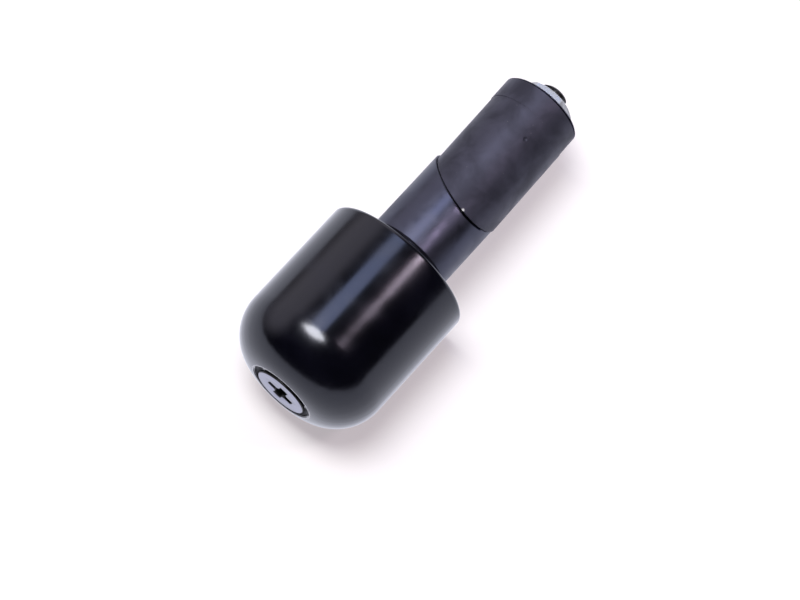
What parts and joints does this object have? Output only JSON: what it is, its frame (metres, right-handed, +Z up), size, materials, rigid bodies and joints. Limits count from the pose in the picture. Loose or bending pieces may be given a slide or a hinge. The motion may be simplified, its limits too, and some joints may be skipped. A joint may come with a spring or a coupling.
{
  "type": "bar end weight",
  "caption": "Round-nosed black barrel that closes and weighs down a handlebar's end, with a slant-cut wedge stem drawn tight in the bar by a long countersunk screw.",
  "frame": {"origin": "centre of the barrel's back face, where the end of the bar seats", "axes": "+X along the bar's axis out to the rounded nose, +Z up; the stem reaches into the bar along -X"},
  "size_m": [0.0809, 0.0312, 0.0312],
  "materials": {
    "barrel_coating": "smooth satin-gloss black coating on steel",
    "screw_steel": "satin dark zinc",
    "stem_black": "smooth satin black moulding",
    "wedge_black": "matt black moulding",
    "nut_zinc": "bright zinc plate"
  },
  "bodies": {
    "barrel": {"weight_body": "barrel_coating", "stem_sleeve": "stem_black"},
    "screw": {"clamp_screw": "screw_steel"},
    "wedge": {"expander_wedge": "wedge_black"},
    "nut": {"hex_nut": "nut_zinc"}
  },
  "joints": [
    {"name": "screw_turn", "type": "hinge", "parent": "barrel", "child": "screw", "pos_m": [0, 0, 0], "axis": [-1, 0, 0], "range_deg": [-37.05, 280.05]},
    {"name": "nut_travel", "type": "slide", "parent": "barrel", "child": "nut", "axis": [1, 0, 0], "range_m": [-0.00010283, 0.00077817]},
    {"name": "wedge_slide", "type": "slide", "parent": "barrel", "child": "wedge", "axis": [0.5736, 0.4461, 0.687], "range_m": [-0.00018, 0.00136]}
  ],
  "couplings": [
    {"joint": "nut_travel", "follows": "wedge_slide", "ratio": 0.57358},
    {"joint": "screw_turn", "follows": "wedge_slide", "rad_per_m": 3603.9}
  ]
}
